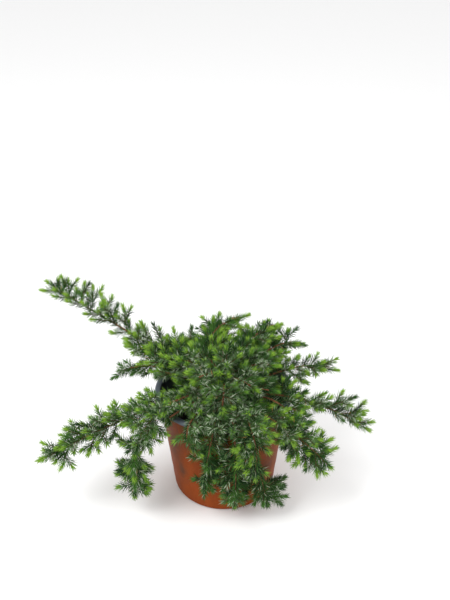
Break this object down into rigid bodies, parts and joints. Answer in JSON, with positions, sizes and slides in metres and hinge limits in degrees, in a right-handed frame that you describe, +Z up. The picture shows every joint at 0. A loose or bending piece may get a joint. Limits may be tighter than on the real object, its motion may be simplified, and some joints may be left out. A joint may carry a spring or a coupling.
{
  "type": "potted shore juniper",
  "caption": "Low, spreading shore juniper with arching and hanging limbs of needle foliage, in a round plastic nursery pot.",
  "frame": {"origin": "centre of the pot's flat underside", "axes": "+Z up along the pot's axis; -Y towards the viewer of the picture; the longest limb reaches back and to the left, towards -X and +Y"},
  "size_m": [0.4086, 0.263, 0.2411],
  "materials": {
    "pot": "terracotta-coloured moulded plastic, dark slate grey on the lip and inside",
    "potting_mix": "moist, almost black bark potting mix",
    "bark": "reddish brown thin bark",
    "foliage": "blue-green awl-shaped needles, fresh yellow-green at the tips"
  },
  "bodies": {
    "root": {"bough_back_arch": "bark", "bough_back_hanging": "bark", "bough_back_left_hanging": "bark", "bough_back_left_long": "bark", "bough_back_right": "bark", "bough_back_right_hanging": "bark", "bough_front_cascade": "bark", "bough_front_drop": "bark", "bough_front_floor": "bark", "bough_front_left": "bark", "bough_front_left_rim": "bark", "bough_front_right": "bark", "bough_left_hanging": "bark", "bough_left_long": "bark", "bough_left_low": "bark", "bough_left_rim": "bark", "bough_left_upper": "bark", "bough_right_back": "bark", "bough_right_hanging": "bark", "bough_right_long": "bark", "bough_right_low": "bark", "bough_right_upper": "bark", "foliage_back_arch": "foliage", "foliage_back_hanging": "foliage", "foliage_back_left_hanging": "foliage", "foliage_back_left_long": "foliage", "foliage_back_right": "foliage", "foliage_back_right_hanging": "foliage", "foliage_crown_back": "foliage", "foliage_crown_back_left": "foliage", "foliage_crown_back_right": "foliage", "foliage_crown_front": "foliage", "foliage_crown_front_right": "foliage", "foliage_crown_left": "foliage", "foliage_crown_low_back_left": "foliage", "foliage_crown_low_back_right": "foliage", "foliage_crown_low_front": "foliage", "foliage_crown_low_right": "foliage", "foliage_crown_right": "foliage", "foliage_crown_top": "foliage", "foliage_front_cascade": "foliage", "foliage_front_drop": "foliage", "foliage_front_floor": "foliage", "foliage_front_left": "foliage", "foliage_front_left_rim": "foliage", "foliage_front_right": "foliage", "foliage_left_hanging": "foliage", "foliage_left_long": "foliage", "foliage_left_low": "foliage", "foliage_left_rim": "foliage", "foliage_left_upper": "foliage", "foliage_right_back": "foliage", "foliage_right_hanging": "foliage", "foliage_right_long": "foliage", "foliage_right_low": "foliage", "foliage_right_upper": "foliage", "pot": "pot", "potting_mix": "potting_mix", "trunk": "bark"}
  },
  "joints": []
}
